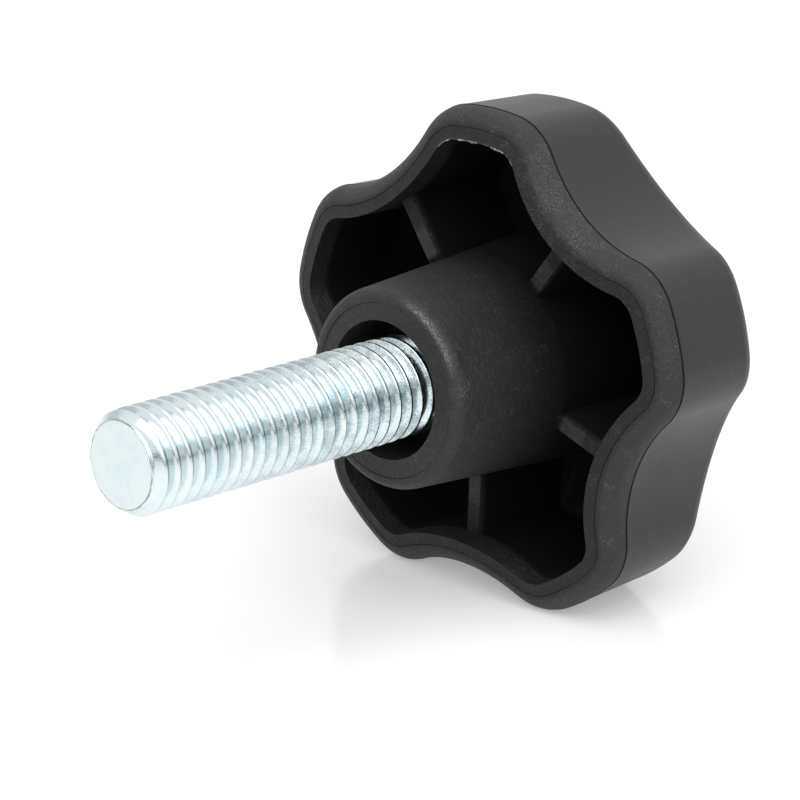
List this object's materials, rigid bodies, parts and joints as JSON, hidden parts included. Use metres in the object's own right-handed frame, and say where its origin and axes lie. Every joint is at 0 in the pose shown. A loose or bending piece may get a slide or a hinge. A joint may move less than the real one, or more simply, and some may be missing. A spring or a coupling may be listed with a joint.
{
  "type": "star knob",
  "caption": "Moulded star knob with scalloped lobes, a ribbed open underside and a raised hub, on a long threaded metal stud.",
  "frame": {"origin": "on the screw's axis, at the flat land in the middle of the domed grip, which is the knob's lowest point as it stands on its head", "axes": "+Z along the screw towards its free end; +X through the middle of one lobe"},
  "size_m": [0.0576, 0.0598, 0.0773],
  "materials": {
    "moulding": "black glass-filled nylon, satin, as moulded",
    "screw": "bright zinc plated, pale blue"
  },
  "bodies": {
    "root": {"knob_body": "moulding", "threaded_stud": "screw"}
  },
  "joints": []
}
